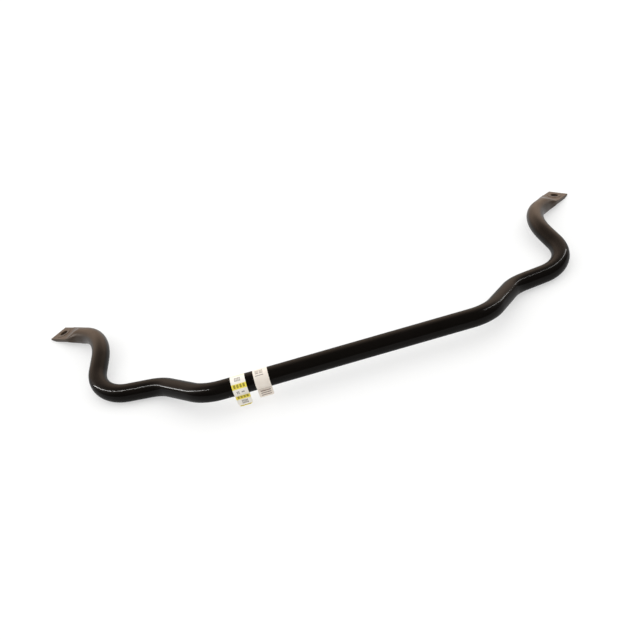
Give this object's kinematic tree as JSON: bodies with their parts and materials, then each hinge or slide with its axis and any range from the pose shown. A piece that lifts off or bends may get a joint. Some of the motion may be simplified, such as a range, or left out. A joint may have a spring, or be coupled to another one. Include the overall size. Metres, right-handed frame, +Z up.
{
  "type": "sway bar",
  "caption": "Round spring-steel sway bar bent in space, with a forged flat eye at each end for the end links and paper labels wrapped round its centre run.",
  "frame": {"origin": "middle of the straight centre run, on the bar's axis", "axes": "+X along the centre run to the right end, +Y from the centre run towards the eyes, +Z up as the bar lies at rest"},
  "size_m": [1.111, 0.405, 0.0584],
  "materials": {
    "coated_steel": "semi-gloss black coat on shot-blasted steel",
    "yellow_paper": "printed paper, satin",
    "white_paper": "printed paper, satin"
  },
  "bodies": {
    "root": {"bar": "coated_steel", "yellow_label": "yellow_paper", "white_label": "white_paper"}
  },
  "joints": []
}
